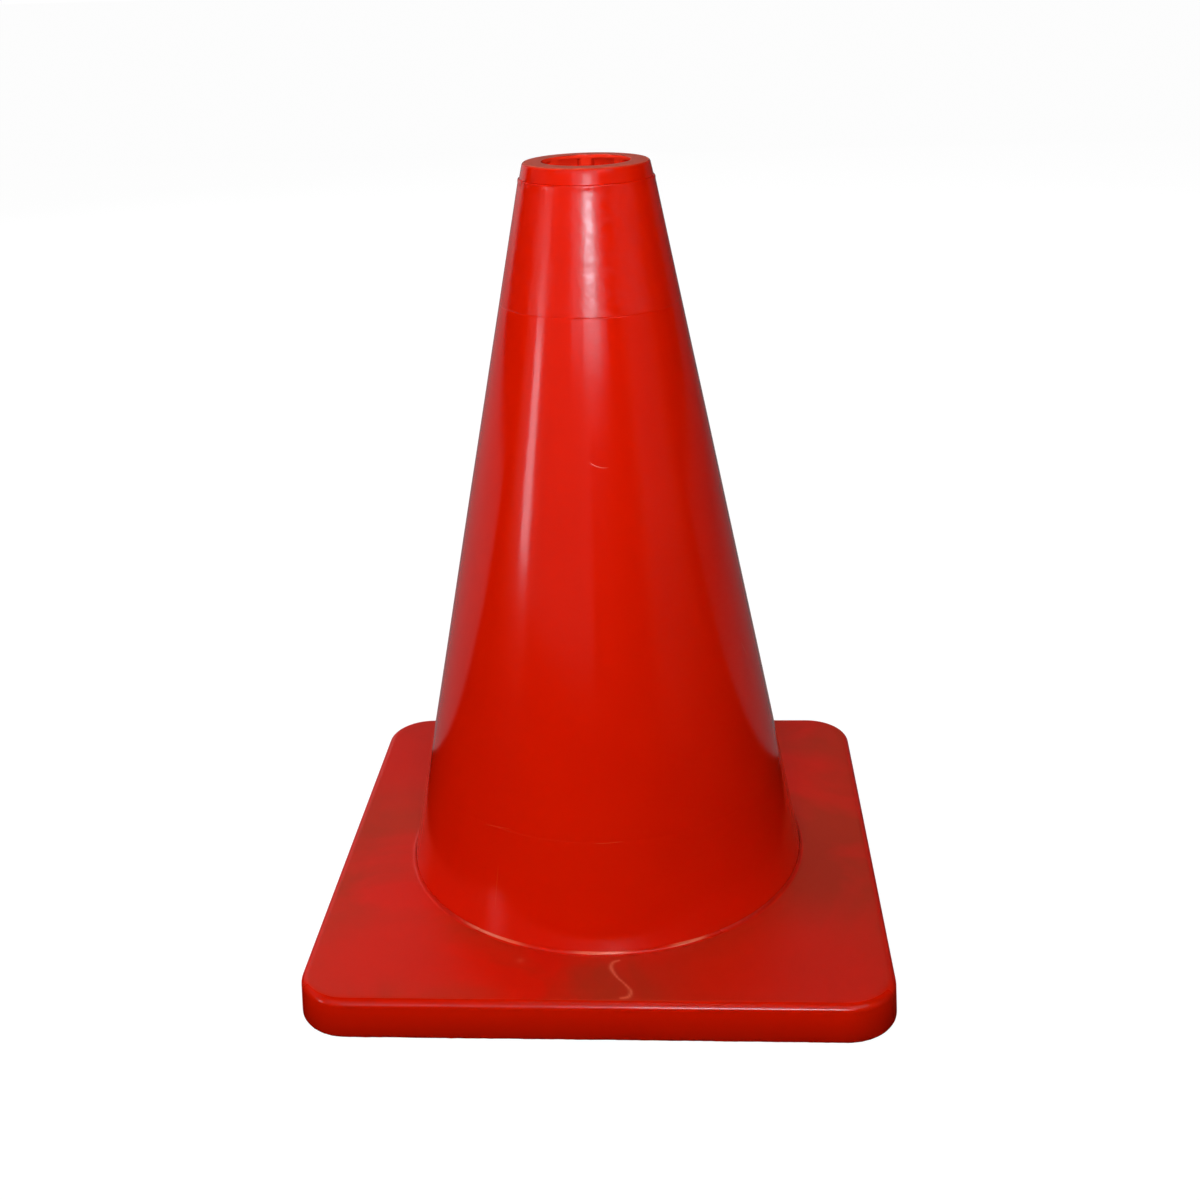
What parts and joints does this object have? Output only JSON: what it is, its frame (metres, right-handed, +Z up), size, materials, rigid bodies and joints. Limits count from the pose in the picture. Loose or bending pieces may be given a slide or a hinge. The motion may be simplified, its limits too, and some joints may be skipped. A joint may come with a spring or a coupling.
{
  "type": "traffic cone",
  "caption": "Small red traffic cone: thin tapered body with an open ribbed neck, standing in a square base with rounded corners.",
  "frame": {"origin": "on the ground under the cone's axis, at the middle of the square footprint", "axes": "+Z up along the cone's axis; X and Y along the sides of the base"},
  "size_m": [0.2288, 0.2288, 0.305],
  "materials": {
    "cone_pvc": "injection-moulded flexible PVC, semi-gloss, with faint flow streaks",
    "neck_pvc": "injection-moulded flexible PVC, glossy, with a trace of flash at its seam",
    "base_pvc": "injection-moulded PVC, glossy but scuffed, with shallow flow marks",
    "ballast_rubber": "pressed recycled rubber and PVC crumb, matt black",
    "peg_pvc": "moulded rigid PVC, matt black"
  },
  "bodies": {
    "root": {"cone_body": "cone_pvc", "neck_ring": "neck_pvc", "base_cover": "base_pvc", "ballast_slab": "ballast_rubber", "locking_pegs": "peg_pvc"}
  },
  "joints": []
}
